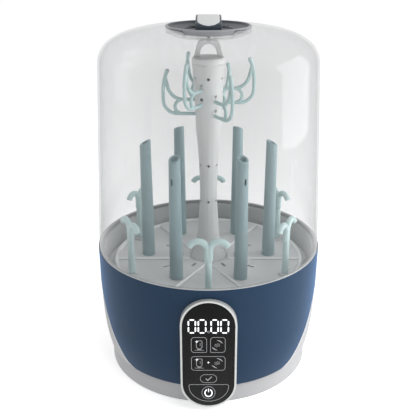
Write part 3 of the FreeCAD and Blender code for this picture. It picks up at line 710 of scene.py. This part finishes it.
def bottle_mark(grey, white, middle, foot):
    """A bottle drying upside down on a line, with a sparkle at its corner."""
    half, shoulder, top, line = 2.9, foot + 2.4, foot + 11.2, 0.55
    ribbon(grey, soften([(middle + half, top), (middle + half, shoulder + 1.2),
                         (middle + half * 0.55, shoulder - 0.6), (middle + half * 0.55, foot + 0.9),
                         (middle - half * 0.55, foot + 0.9), (middle - half * 0.55, shoulder - 0.6),
                         (middle - half, shoulder + 1.2), (middle - half, top)], 0.9), line)
    ribbon(grey, [(middle - half * 0.4, foot + 1.5), (middle + half * 0.4, foot + 1.5)], 0.9, False)
    ribbon(grey, [(middle - 4.7, foot), (middle + 4.7, foot)], line * 0.7, False)
    ribbon(grey, [(middle + 1.0, top - 2.4), (middle + 1.0, shoulder + 2.6)], line * 0.7, False)
    star(white, middle - half + 0.4, top - 1.0, 1.9)


def crescent(bm, cx, cy, size, start, stop, thick):
    """An arc that is thickest in its middle."""
    outside = ellipse(cx, cy, size, size, start, stop, 16)
    inside = []
    for k, (x, y) in enumerate(outside):
        keep = 1 - thick / size * math.sin(math.pi * (k + 0.4) / (len(outside) - 0.2))
        inside.append((cx + (x - cx) * keep, cy + (y - cy) * keep))
    printed(bm, outside + inside[::-1])


def swirl_mark(grey, cx, cy):
    """Moving air: two crescents about a few wisps."""
    crescent(grey, cx, cy, 6.0, 18, 96, 1.15)
    crescent(grey, cx, cy, 6.0, 200, 272, 1.15)
    for shift, reach in ((0.0, 3.4), (1.5, 2.3), (-1.5, 2.3)):
        wisp = []
        for k in range(9):
            share = k / 8 * 2 - 1
            wave = 0.55 * math.sin(math.pi * share)
            wisp.append((cx + (reach * share * 0.78 + (wave + shift) * 0.62),
                         cy + (reach * share * 0.62 - (wave + shift) * 0.78)))
        ribbon(grey, wisp, 0.34, False)


def make_panel():
    pale = moulded("frame_plastic", srgb(206, 208, 206), roughness=0.3, grain=0.5, depth=0.006)
    black = moulded("panel_glass_black", srgb(22, 22, 23), roughness=0.09, depth=0, mottle=0.01,
                    coat=0.6, gloss=0.5)
    bm = bmesh.new()
    slab(bm, capsule(PANEL.x1, PANEL.z0, PANEL.z1, 40), 105, FRONT, facing)
    surround = bake(bevel(piece_from(bm, "panel_surround", pale), 0.4, 3, 60))
    for margin, back in ((0.1, -FRONT + 2.1), (-1.7, -100)):     # the glass's seat and the way behind
        carve(surround, pill_cutter(GLASS.x1 + margin, GLASS.z0 - margin, GLASS.z1 + margin,
                                    FRONT + 1, back))
    for radius, low, high in ((121.2, 90, 150), (111, 0, 90)):   # room for the chamber and the base
        room = bmesh.new()
        drum_mesh(room, radius, low, high, turns=TURNS)
        carve(surround, room)
    # The frame's walls that don't face forwards get a darker grey than its front face: painted shade,
    # for walls turned away from the light.
    side = moulded("frame_side_painted_shade", srgb(160, 162, 160), roughness=0.34, grain=0.5, depth=0.006)
    second_finish(surround, side, lambda face: face.normal.y >= -0.45)
    stands_for(surround, "base", "trim_light", "panel_frame")

    bm = bmesh.new()
    slab(bm, capsule(GLASS.x1, GLASS.z0, GLASS.z1, 40), -GLASS.y1, -GLASS.y0, facing)
    glass = bake(bevel(piece_from(bm, "panel_lens", black), 0.35, 3, 60))
    stands_for(glass, "base", "panel_black", "panel_glass")

    grey, white = bmesh.new(), bmesh.new()
    for left, right in ((-21.0, -12.5), (-11.0, -2.1), (1.9, 10.4), (11.8, 20.7)):
        digit_zero(white, left, right, 95.6, 112.0)
    ribbon(grey, ellipse(-0.1, 97.3, 1.0, 1.05))
    ribbon(grey, key_outline(-17.6, -1.85, 73.1, 90.9, square="se"))
    ribbon(grey, key_outline(2.0, 17.0, 73.1, 90.9, square="sw"))
    ribbon(grey, key_outline(-17.6, 17.1, 51.4, 68.2))
    ribbon(grey, key_outline(-8.5, 8.5, 36.1, 46.1, radius=5))
    ribbon(grey, [(-2.9, 41.2), (-0.8, 38.9), (3.4, 43.6)], 1.0, False)
    moon = [(-20.8, 33.7)] + ellipse(0.3, 32.4, 20.9, 19.7, 197, 343, 48) + [(21.4, 33.7)]
    ribbon(grey, soften(moon, 2.2, turn=40))
    ribbon(grey, ellipse(0, 23.5, 6.9, 7.7), 0.5)
    ribbon(white, ellipse(0, 23.2, 3.75, 4.5, 115, 425, 40), 1.2, False)
    printed(white, [(-0.42, 24.2), (0.42, 24.2), (0.42, 28.6), (-0.42, 28.6)])
    for height in (75.7, 54.1):
        bottle_mark(grey, white, -9.5, height)
        swirl_mark(grey, 8.9, height + 6.0)
    for spot in ([(-1.4, 60.9), (1.2, 60.9)], [(-0.1, 59.5), (-0.1, 62.3)]):
        ribbon(white, spot, 0.42, False)
    # The grey printed marks glow with their own grey: painted light.
    marks = piece_from(grey, "panel_marks", lit("mark_grey_painted_glow", srgb(138, 138, 140), 0.62))
    bright = piece_from(white, "panel_digits", lit("mark_white", srgb(236, 238, 240), 0.8))
    for piece in (marks, bright):
        stands_for(piece, "base", "panel_black")


# ---------------- chamber
def make_tub():
    grey = moulded("tub_plastic", srgb(192, 193, 193), roughness=0.36, grain=0.6, depth=0.01)
    bm = bmesh.new()
    lathe(bm, soften([(125.2, 140.7), (125.2, 141.7), (124.7, 142.2), (124.1, 142.2),
                      (121.8, 142.2), (121.6, 138.6), (118.2, 138.6), (117.4, 111.8),
                      (113.6, 111.8), (112.4, 97), (62, 94), (47.5, 90.6), (47.5, 88.2),
                      (62.4, 91.6), (114.8, 94.6), (115.9, 109.4), (119.6, 109.4),
                      (120.2, 136.2), (123.2, 136.8), (123.2, 140.7)], 0.6, 3))
    tub = piece_from(bm, "tub_lining", grey)
    # The outer top of the rim gets a lighter grey than the lining: a painted highlight along the rim.
    rim = moulded("tub_rim_painted_highlight", srgb(208, 209, 209), roughness=0.26, grain=0.5, depth=0.004)
    second_finish(tub, rim, lambda face: face.center.z > 140.9 * MM
                  and face.center.xy.length > 124.2 * MM)
    stands_for(tub, "base", "tub_grey", "inner_tub")


# ---------------- rack
POST_ANGLES = (-120, -60, 0, 60, 120, 180)
HOOK_ANGLES = (-90, -30, 30, 90, 150, 210)
HIGH_ARMS = {0: 12, 120: 12, -120: 12}      # how much higher these angles' arms sit
POST_RING, HOOK_RING = 69.6, 97.2
TRAY_TOP = 122.6
THROUGH = 100, 140              # the heights between which the tray is cut
ARM_LEVEL = 289.7
MAST_TOP = 343.4


def slot_box(bm, angle, start, reach, half):
    """A block through the tray that runs outwards from a radius."""
    part = bmesh.new()
    box_mesh(part, (start, -half, THROUGH[0]), (start + reach, half, THROUGH[1]))
    copy_into(bm, turned(part, angle))


def spoke(bm, section, start, stop, angle):
    """A solid with this section (across, height) that runs outwards between two radii."""
    part = bmesh.new()
    slab(part, section, start, stop, sideways)
    copy_into(bm, turned(part, angle))


def make_tray():
    pale = moulded("rack_plastic", srgb(214, 215, 216), roughness=0.36, grain=0.6, depth=0.01)
    bm = bmesh.new()
    lathe(bm, soften([(17, 117.4), (104.4, 117.4), (111.9, 112.1), (116.9, 112.1), (116.9, 114.4),
                      (113.6, 114.4), (108, 122.6), (105, 122.6), (104, 119.8), (50, 119.8),
                      (49, 120.6), (17, 120.6)], 0.7, 3))
    tray = piece_from(bm, "rack_plate", pale)
    raised = bmesh.new()
    section = [(-11, 118), (11, 118), (11, 121.1), (9.5, TRAY_TOP - 0.05), (-9.5, TRAY_TOP - 0.05),
               (-11, 121.1)]
    for angle in POST_ANGLES:
        spoke(raised, section, 22, 106, angle)
    carve(tray, raised, "UNION", crossed=True)
    pads, holes = bmesh.new(), bmesh.new()
    for angle in HOOK_ANGLES:
        drum_mesh(pads, 6.5, 117.7, TRAY_TOP - 0.1, round_at(HOOK_RING, angle))
    carve(tray, pads, "UNION")
    for angle in POST_ANGLES:
        drum_mesh(holes, 4, *THROUGH, round_at(POST_RING, angle))
        slot_box(holes, angle, 29, 9, 1.6)
    for angle in HOOK_ANGLES:
        slot_box(holes, angle, 45, 14, 1.3)
    carve(tray, holes)

    def sloped(face):
        """The sloped edges and the outer rim get a lighter, glossier plastic; the lighter colour is a
        painted highlight.
        """
        spot = face.center / MM
        edge = 121 < spot.z < 122.5 and 0.3 < face.normal.z < 0.95
        return edge or (spot.z > 121.8 and spot.xy.length > 104.2)

    second_finish(tray, moulded("rack_edge_painted_highlight", srgb(244, 245, 245), roughness=0.25,
                                grain=0.6, depth=0.004), sloped)
    stands_for(bevel(tray, 0.3, 2, 50), "rack", "rack_grey", "rack_tray")


def copies_round(piece, name, node, slot, angles, radius, spin=0):
    """Places the piece's mesh at several angles, as numbered pieces for numbered nodes."""
    mesh = piece.data
    bpy.data.objects.remove(piece)
    for number, angle in enumerate(angles, 1):
        bm = bmesh.new()
        bm.from_mesh(mesh)
        turned(turned(bm, spin), angle, radius)
        made = bpy.data.meshes.new(f"{name}_{number}")
        bm.to_mesh(made)
        bm.free()
        made.materials.append(mesh.materials[0])
        copy = bpy.data.objects.new(f"{name}_{number}", made)
        scene.collection.objects.link(copy)
        stands_for(copy, "rack", slot, f"{node}_{number}")


def make_posts():
    teal = moulded("post_plastic", srgb(155, 175, 179), roughness=0.34, grain=0.5, depth=0.008)
    high, slope, foot = 261.0, 6.5 / 12.4, TRAY_TOP
    steps = 24
    tall = high - 0.4 - foot
    outer = [(7.4 - 1.38 * k / steps, foot + tall * k / steps) for k in range(steps)]
    inner = [(3.4, high - 2.8), (1.1, high - 6.5), (1.1, foot + 12), (5.2, foot)]
    bm = bmesh.new()
    lathe(bm, soften(outer + [(6.02, high - 0.3), (5.6, high), (4.0, high), (3.5, high - 0.5)] + inner,
                     0.4, 3), turns=64)
    for vert in bm.verts:
        rise = max(0, vert.co.z / MM - foot) / (high - foot)
        vert.co.z -= (vert.co.x / MM + 6.2) * slope * rise * MM
    post = piece_from(bm, "post", teal)
    vent = bmesh.new()
    slab(vent, ellipse(0, 234, 1.2, 4.1, steps=24), 0, 10, sideways)
    carve(post, vent)
    copies_round(post, "post", "bottle_post", "post_teal", POST_ANGLES, POST_RING)


def make_hooks():
    mint = moulded("hook_plastic", srgb(204, 226, 226), roughness=0.34, grain=0.5, depth=0.008)
    turn_height, arc, lean, rod = 173.2, 9.3, 1.4, 3.3
    bm = bmesh.new()
    tube(bm, [(0, 0, TRAY_TOP + 0.1), (0, 0, 130), (0, 0, TRAY_TOP + 40), (0, 0, turn_height - 6)],
         [4, 3.93, 3.4, 3.4], 28, round_ends=False)
    for side in (1, -1):
        path = [(side * lean, 0, turn_height - 12), (side * lean, 0, turn_height)]
        for k in range(1, 25):
            angle = math.radians(180 - (180 - 23) * k / 24)
            path.append((side * (lean + arc + arc * math.cos(angle)), 0,
                         turn_height + arc * math.sin(angle)))
        tube(bm, path, rod, 24, round_ends=False)
    hook = grow_together(piece_from(bm, "hook", mint), 0.5, 3)
    copies_round(hook, "hook_arm", "hook", "hook_mint", HOOK_ANGLES, HOOK_RING, spin=90)


def flutes(angle, height):
    """Shallow upright flutes round the middle of the mast."""
    share = max(0.0, min(1.0, (height - 148) / 20)) * max(0.0, min(1.0, (290 - height) / 20))
    return 1 - 0.012 * share * (1 - math.cos(12 * angle)) / 2


def make_mast():
    grey = moulded("mast_plastic", srgb(222, 223, 222), roughness=0.34, grain=0.5, depth=0.008)
    bm = bmesh.new()
    sweep = curve([(20, 121.4), (11.5, 165, 108, -1), (9.7, 206, 350, -1), (13.6, 272, 607, -1),
                   (17.3, MAST_TOP, 1740, -1)])
    inside = [(14.2, MAST_TOP), (11.4, 280), (7.9, 225), (7.9, 165), (13.6, 129), (13.6, 121.4)]
    lathe(bm, sweep + inside, turns=144, ripple=flutes)
    mast = piece_from(bm, "mast_tube", grey)
    holes = bmesh.new()
    fork = [(-0.5, -1.9), (0.5, -1.9), (0.5, 0.2), (1.9, 2.2), (1.2, 2.7), (0, 1.1), (-1.2, 2.7),
            (-1.9, 2.2), (-0.5, 0.2)]
    for angle in HOOK_ANGLES:
        for height in (190.7, 233, 329.4):
            spoke(holes, ellipse(0, height, 1.35, 1.35, steps=24), 4, 24, angle)
    for angle in POST_ANGLES:
        level = ARM_LEVEL + HIGH_ARMS.get(angle, 0)
        spoke(holes, ellipse(0, level + 5.6, 1.8, 1.8, steps=24), 12.5, 24, angle)
        spoke(holes, [(across, level + 20 + up) for across, up in fork], 4, 24, angle)
    carve(mast, holes)
    stands_for(bevel(mast, 0.25, 2, 50), "rack", "mast_grey", "mast")

    bm = bmesh.new()
    lathe(bm, soften([(0, MAST_TOP), (17.25, MAST_TOP), (17.5, 345.6), (17.3, 349.2),
                      (16.4, 350.6), (0, 351.2)], 0.5, 4), turns=96)
    arch = curve([(-16.2, 348.6), (-12.5, 362), (-6.5, 368.5, 8.5, -1), (6.5, 368.5),
                  (12.5, 362, 8.5, -1), (16.2, 348.6), (10.3, 348.6), (8.1, 356.8),
                  (-8.1, 356.8, 8.15, 1), (-10.3, 348.6)])
    slab(bm, arch, -3.7, 3.7, lambda across, up, depth: (across, depth, up))
    cap = grow_together(piece_from(bm, "mast_loop", grey), 0.45, 6)
    stands_for(cap, "rack", "mast_grey", "mast_cap")


def make_teat_arms():
    sea = moulded("arm_plastic", srgb(188, 210, 210), roughness=0.32, grain=0.5, depth=0.008)
    for number, angle in enumerate(POST_ANGLES, 1):
        lift = HIGH_ARMS.get(angle, 0)
        level = ARM_LEVEL + lift
        shift = 0.055 * lift
        lower = curve([(14.0 + shift, level), (33.4, level), (48.4, level + 15, 15, 1),
                       (48.4, level + 24), (43.7, level + 46, 53.84, 1)])
        upper = curve([(14.6 + shift, level + 15.4), (27, level + 15.4),
                       (43.2, level + 28, 16.714, 1), (45.79, level + 38.2)])
        brace = ellipse(28.5, level + 7.7, 7.4, 7.4, -78, 78, 26)
        bm = bmesh.new()
        for path, rod in ((lower, [1.95] * (len(lower) - 3) + [2.05, 2.2, 2.35]), (upper, 1.95),
                          (brace, 1.8)):
            tube(bm, [(x, 0, z) for x, z in path], rod, 20)
        arm = grow_together(piece_from(turned(bm, angle), f"holder_arm_{number}", sea), 0.42, 3)
        stands_for(arm, "rack", "hook_mint", f"teat_arm_{number}")


# ---------------- lid
SKIRT_HALF = 26.4               # half the width of the skirt under the front of the dish's rim


def eased(share):
    """A share between 0 and 1 with a soft start and end."""
    share = max(0.0, min(1.0, share))
    return share * share * (3 - 2 * share)


def dip(vert):
    """How far a point lies into the front part where the skirt is, from 0 to 1."""
    return 0 if vert.co.y > 0 else eased((SKIRT_HALF - abs(vert.co.x / MM)) / 6)


def make_dome():
    clear = clear_plastic("dome_clear_plastic", (0.93, 0.931, 0.932, 1))
    wall = [(125 - 9.4 * k / 40, 142.6 + 203.5 * k / 40) for k in range(40)]
    crown = curve([(115.6, 346.1), (104, 367.4, 27.4, 1), (88, 375.2, 55, 1),
                   (44, 381.6, 154.4, 1), (41.6, 381.6)])
    inner = curve([(41.6, 379.4), (43.9, 379.4), (87.37, 373.1, 152.2, -1), (102.73, 365.6, 52.8, -1),
                   (113.4, 346, 25.2, -1), (122.7, 148), (119.4, 143.6), (119.4, 139.2),
                   (121.2, 139.2), (121.2, 142.6)])
    bm = bmesh.new()
    lathe(bm, soften(wall + crown + inner, 0.5, 3, turn=25), turns=256)
    for vert in bm.verts:
        radius, height = vert.co.xy.length / MM, vert.co.z / MM
        if height > 370 and radius < 62:
            vert.co.z -= 4.4 * MM * dip(vert) * min(1, (62 - radius) / 15.2)
    dome = piece_from(bm, "dome_shell", clear)
    room = bmesh.new()
    drum_mesh(room, 46.6, 360, 400, turns=128)
    front = piece_from(room, "front_room", clear)
    side = bmesh.new()
    box_mesh(side, (-SKIRT_HALF - 0.4, -60, 350), (SKIRT_HALF + 0.4, -28, 410))
    carve(front, side, "INTERSECT")
    carve(dome, front)
    stands_for(dome, "lid", "dome_clear", "dome")


def make_dish():
    # The dish's grey inside the rim is darkened: painted shade of its recess; the rim and the skirt keep
    # the lighter grey.
    grey = moulded("dish_painted_shade", srgb(76, 81, 87), roughness=0.4, grain=0.5, depth=0.01, gloss=0.3)
    skirt = moulded("skirt_plastic", srgb(146, 148, 152), roughness=0.36, grain=0.5, depth=0.01)
    bm = bmesh.new()
    wall = curve([(42.4, 383), (41.5, 382.6), (40.2, 380.9), (26.6, 378.7), (24.9, 377.3), (0, 377.1)])
    lathe(bm, soften([(0, 374.8), (31, 375), (40.6, 379.1), (41.2, 381.8), (44.8, 381.8),
                      (44.6, 382.7), (43.9, 383)] + wall, 0.5, 3))
    dish = piece_from(bm, "lid_dish", grey)
    slots = bmesh.new()
    for depth in (-22.6, 20.2):
        for low in (-21.6, 14.6):
            box_mesh(slots, (low, depth, 370), (low + 7, depth + 2.4, 385))
    carve(dish, slots)
    second_finish(dish, skirt, lambda face: face.center.xy.length > 42.2 * MM)
    stands_for(bevel(dish, 0.2, 2, 50), "lid", "dish_grey", "handle_dish")

    bm = bmesh.new()
    steps = 96
    edge = math.degrees(math.asin(SKIRT_HALF / 46.1))
    rows = []
    for k in range(steps + 1):
        turn = math.radians(270 - edge + 2 * edge * k / steps)
        across = abs(46 * math.cos(turn))
        drop = 0.3 + 4.5 * eased((SKIRT_HALF - across) / 4)
        section = [(44.2, 382.4), (45.6, 382.1), (46.1, 381.7), (46.1, 382.2 - drop + 0.4),
                   (45.8, 382.2 - drop), (44.8, 382.2 - drop), (44.6, 381.9 - drop * 0.2)]
        rows.append([bm.verts.new((r * math.cos(turn) * MM, r * math.sin(turn) * MM, z * MM))
                     for r, z in section])
    join_rows(bm, rows)
    stands_for(piece_from(bm, "lid_skirt", skirt), "lid", "dish_grey", "handle_dish")


BAR_HALF, INLAY_HALF = 13.1, 11.2                # half widths
BAR_REACH, INLAY_REACH = 38.3, 37.3              # half lengths
BAR_FOOT, BAR_TOP = 378, 392.4
BAR_ARCH, BAR_CORNER = 142, 6                    # radii of the top face and of its ends


def bar_top_line():
    """The handle's arched outer face in side view, (depth, height)."""
    across = BAR_REACH - BAR_CORNER
    rise = math.sqrt((BAR_ARCH - BAR_CORNER) ** 2 - across ** 2)
    share = BAR_ARCH / (BAR_ARCH - BAR_CORNER)
    depth, lift = across * share, BAR_TOP - BAR_ARCH + rise * share
    corner = BAR_TOP - BAR_ARCH + rise
    return curve([(-BAR_REACH, BAR_FOOT), (-BAR_REACH, corner), (-depth, lift, BAR_CORNER, -1),
                  (depth, lift, BAR_ARCH, -1), (BAR_REACH, corner, BAR_CORNER, -1),
                  (BAR_REACH, BAR_FOOT)])


def make_handle():
    navy = moulded("handle_plastic", srgb(46, 55, 64), roughness=0.38, grain=0.5, depth=0.01)
    pale = moulded("inlay_plastic", srgb(206, 208, 208), roughness=0.34, grain=0.5, depth=0.006)
    under = curve([(33.4, BAR_FOOT), (32.6, 380.5), (26.5, 385.73, 5.6, 1),
                   (-26.5, 385.73, 138, 1), (-32.6, 380.5, 5.6, 1), (-33.4, BAR_FOOT)])
    bm = bmesh.new()
    slab(bm, bar_top_line() + under, -BAR_HALF, BAR_HALF, sideways)
    bar = bake(bevel(piece_from(bm, "lid_bar", navy), 1.1, 4, 60))
    stands_for(bar, "lid", "handle_navy", "handle_bar")

    line = [Vector(spot) for spot in bar_top_line()]
    fine = []
    for a, b in zip(line, line[1:]):
        parts = max(1, int((b - a).length / 0.5))
        fine += [a + (b - a) * k / parts for k in range(parts)]
    keep = [spot for spot in fine if abs(spot.x) <= INLAY_REACH and spot.y > 384]
    run = [0.0]
    for a, b in zip(keep, keep[1:]):
        run.append(run[-1] + (b - a).length)
    across, round_part = 20, 14
    rows = []
    bm = bmesh.new()
    for k, spot in enumerate(keep):
        ahead = keep[min(k + 1, len(keep) - 1)] - keep[max(k - 1, 0)]
        out = Vector((-ahead.y, ahead.x)).normalized()
        end = min(run[k], run[-1] - run[k])
        half = INLAY_HALF * max(0.001, 1 - (1 - min(1, end / round_part)) ** 2.6) ** (1 / 2.3)
        row = []
        for layer in (1, -1):
            for c in range(across + 1):
                u = (c / across * 2 - 1) * layer
                edge = 1 - abs(u) ** 10
                raise_by = 0.28 * edge * min(1, end / 0.6 + 0.05) if layer == 1 else -0.6
                place = spot + out * raise_by
                row.append(bm.verts.new((half * u * MM, place.x * MM, place.y * MM)))
        rows.append(row)
    join_rows(bm, rows)
    stands_for(piece_from(bm, "lid_inlay", pale, 50), "lid", "trim_light", "handle_inlay")


# ---------------- finishes for the other nodes
def dress_nodes():
    rubber = moulded("foot_rubber", (0.02, 0.02, 0.022), roughness=0.7, depth=0.02)
    steel = moulded("plate_steel", (0.55, 0.55, 0.56), roughness=0.25, grain=0.3, depth=0.006, metal=1)
    dark_steel = moulded("element_steel", (0.3, 0.29, 0.28), roughness=0.35, metal=1)
    screw = moulded("screw_steel", (0.5, 0.5, 0.5), roughness=0.3, metal=1)
    silicone = moulded("seal_silicone", (0.6, 0.6, 0.6), roughness=0.55, gloss=0.3)
    board = moulded("board_green", (0.01, 0.12, 0.05), roughness=0.4, depth=0.02)
    inside = moulded("inner_dark", (0.03, 0.03, 0.032), roughness=0.5)
    fan = moulded("fan_white", (0.75, 0.76, 0.77), roughness=0.35)
    fleece = moulded("filter_fleece", (0.8, 0.8, 0.78), roughness=0.95, grain=0.4, depth=0.25, gloss=0.1)
    grey = bpy.data.materials["shell_plastic"]
    tub = bpy.data.materials["tub_plastic"]
    clear = bpy.data.materials["dome_clear_plastic"]
    nylon = clear_plastic("screw_clear_nylon", (0.985, 0.985, 0.985, 1), haze=-0.03)
    finishes = {
        "bottom_cover": (grey, "shell_grey"), "rubber_feet": (rubber, "foot_rubber"),
        "base_screws": (screw, "screw_steel"), "display_module": (inside, "inner_dark"),
        "touch_board": (board, "board_green"), "heating_plate": (steel, "plate_steel"),
        "plate_seal": (silicone, "seal_silicone"), "heating_element": (dark_steel, "element_steel"),
        "thermostat": (dark_steel, "element_steel"), "air_riser": (tub, "tub_grey"),
        "fan_housing": (inside, "inner_dark"), "fan_motor": (screw, "motor_steel"),
        "air_duct": (inside, "inner_dark"), "dryer_heater": (dark_steel, "heater_metal"),
        "control_board": (board, "board_green"), "mains_inlet": (inside, "inner_dark"),
        "filter_frame": (inside, "inner_dark"), "filter_cover": (grey, "shell_grey"),
        "air_filter": (fleece, "filter_fleece"), "fan_rotor": (fan, "fan_white"),
        "dish_retainer": (clear, "dome_clear"), "handle_screws": (nylon, "dome_clear"),
    }
    for name, (material, slot) in finishes.items():
        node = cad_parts[name]
        node.data.materials.clear()
        node.data.materials.append(material)
        for face in node.data.polygons:
            face.material_index = 0
        node.data.shade_smooth()
        node.data.set_sharp_from_angle(angle=math.radians(30))
        if name in ("filter_cover", "air_riser", "mains_inlet"):
            bevel(node, 0.4, 2, 40)


make_camera()
make_studio()
make_shells()
make_panel()
make_tub()
make_tray()
make_posts()
make_hooks()
make_mast()
make_teat_arms()
make_dome()
make_dish()
make_handle()
dress_nodes()
